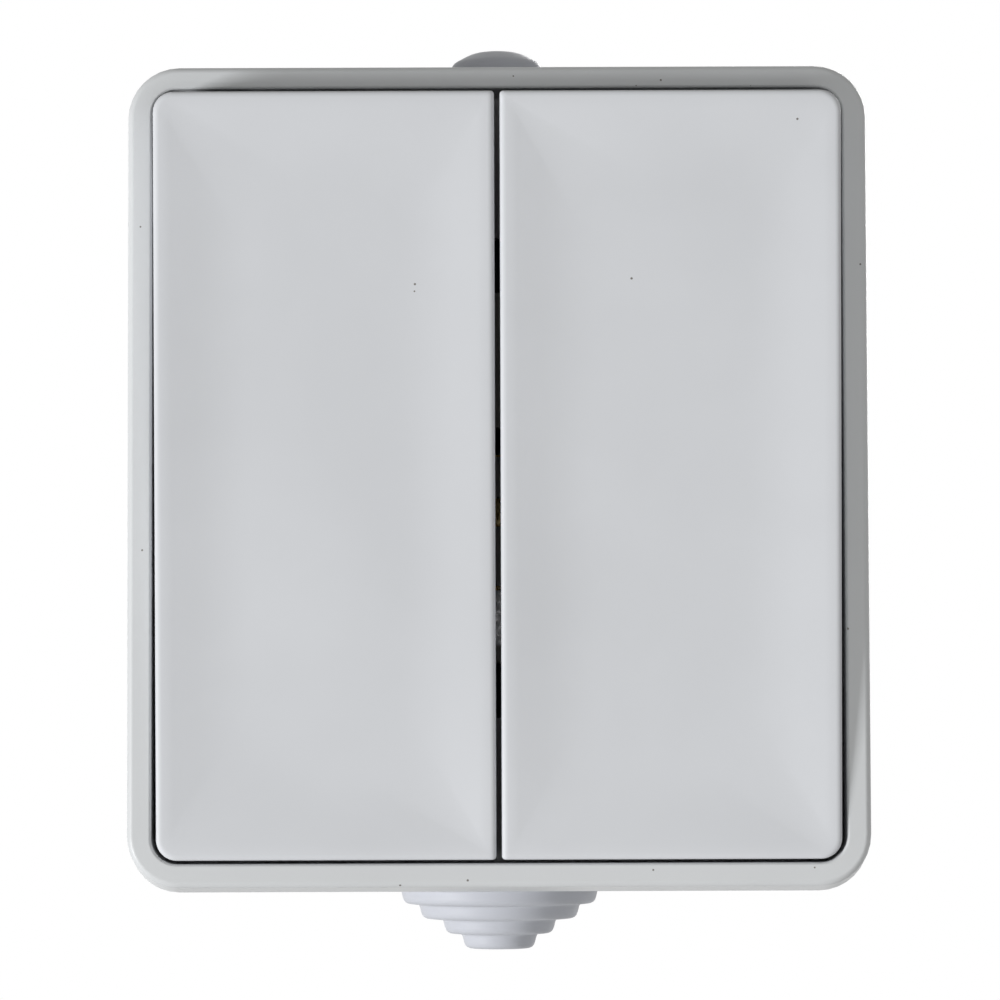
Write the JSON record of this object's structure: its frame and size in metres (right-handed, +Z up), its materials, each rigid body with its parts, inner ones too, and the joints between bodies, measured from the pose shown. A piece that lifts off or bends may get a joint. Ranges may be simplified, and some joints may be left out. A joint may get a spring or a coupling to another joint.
{
  "type": "outdoor weatherproof switch",
  "caption": "Surface-mounted weatherproof rocker switch box with tall side-by-side rockers, a bevelled cover, a stepped cable gland below and a blanked entry above.",
  "frame": {"origin": "centre of the rear box's back face, on the wall", "axes": "+Y into the wall, out of the back face; +Z up; +X to the right as seen from the front"},
  "size_m": [0.0768, 0.0519, 0.0969],
  "materials": {
    "box_plastic": "moulded, fine matt texture",
    "cover_plastic": "moulded, satin to semi-gloss",
    "rocker_plastic": "moulded, smooth satin",
    "mechanism_plastic": "moulded, plain",
    "plunger_plastic": "natural acetal",
    "gland_rubber": "soft light grey elastomer",
    "seal_rubber": "dark rubber",
    "zinc_steel": "zinc plated",
    "spring_steel": "drawn spring wire",
    "terminal_brass": "stamped",
    "contact_silver": "silver contact alloy"
  },
  "bodies": {
    "housing": {"rear_box": "box_plastic", "front_cover": "cover_plastic", "cover_gasket": "seal_rubber", "cable_gland": "gland_rubber", "entry_plug": "gland_rubber", "mechanism_housing": "mechanism_plastic", "mechanism_lid": "mechanism_plastic", "mechanism_bracket": "zinc_steel", "mechanism_seal": "seal_rubber", "common_busbar": "terminal_brass", "terminal_clamps": "terminal_brass", "terminal_screws": "zinc_steel", "cover_screws": "zinc_steel", "mechanism_screws": "zinc_steel", "output_terminal_left": "terminal_brass", "fixed_contact_left": "contact_silver", "output_terminal_right": "terminal_brass", "fixed_contact_right": "contact_silver"},
    "rocker_left": {"rocker_left": "rocker_plastic", "cradle_left": "mechanism_plastic", "spring_left": "spring_steel"},
    "plunger_left": {"plunger_left": "plunger_plastic"},
    "contact_arm_left": {"contact_arm_left": "terminal_brass", "moving_contact_left": "contact_silver"},
    "rocker_right": {"rocker_right": "rocker_plastic", "cradle_right": "mechanism_plastic", "spring_right": "spring_steel"},
    "plunger_right": {"plunger_right": "plunger_plastic"},
    "contact_arm_right": {"contact_arm_right": "terminal_brass", "moving_contact_right": "contact_silver"}
  },
  "joints": [
    {"name": "rocker_left_tilt", "type": "hinge", "parent": "housing", "child": "rocker_left", "pos_m": [-0.0126, -0.04186, 0], "axis": [1, 0, 0], "range_deg": [-8.5, 0]},
    {"name": "plunger_left_slide", "type": "slide", "parent": "rocker_left", "child": "plunger_left", "axis": [0, -0.9973, -0.0741], "range_m": [0, 0.0008], "stiffness_N_per_m": 400, "springref_m": -0.004, "deforming": ["spring_left"]},
    {"name": "contact_arm_left_tilt", "type": "hinge", "parent": "housing", "child": "contact_arm_left", "pos_m": [-0.0126, -0.02526, 0], "axis": [1, 0, 0], "range_deg": [0, 20.4]},
    {"name": "rocker_right_tilt", "type": "hinge", "parent": "housing", "child": "rocker_right", "pos_m": [0.0126, -0.04186, 0], "axis": [1, 0, 0], "range_deg": [-8.5, 0]},
    {"name": "plunger_right_slide", "type": "slide", "parent": "rocker_right", "child": "plunger_right", "axis": [0, -0.9973, -0.0741], "range_m": [0, 0.0008], "stiffness_N_per_m": 400, "springref_m": -0.004, "deforming": ["spring_right"]},
    {"name": "contact_arm_right_tilt", "type": "hinge", "parent": "housing", "child": "contact_arm_right", "pos_m": [0.0126, -0.02526, 0], "axis": [1, 0, 0], "range_deg": [0, 20.4]}
  ],
  "couplings": [
    {"joint": "contact_arm_left_tilt", "follows": "rocker_left_tilt", "ratio": -2.4},
    {"joint": "contact_arm_right_tilt", "follows": "rocker_right_tilt", "ratio": -2.4}
  ]
}
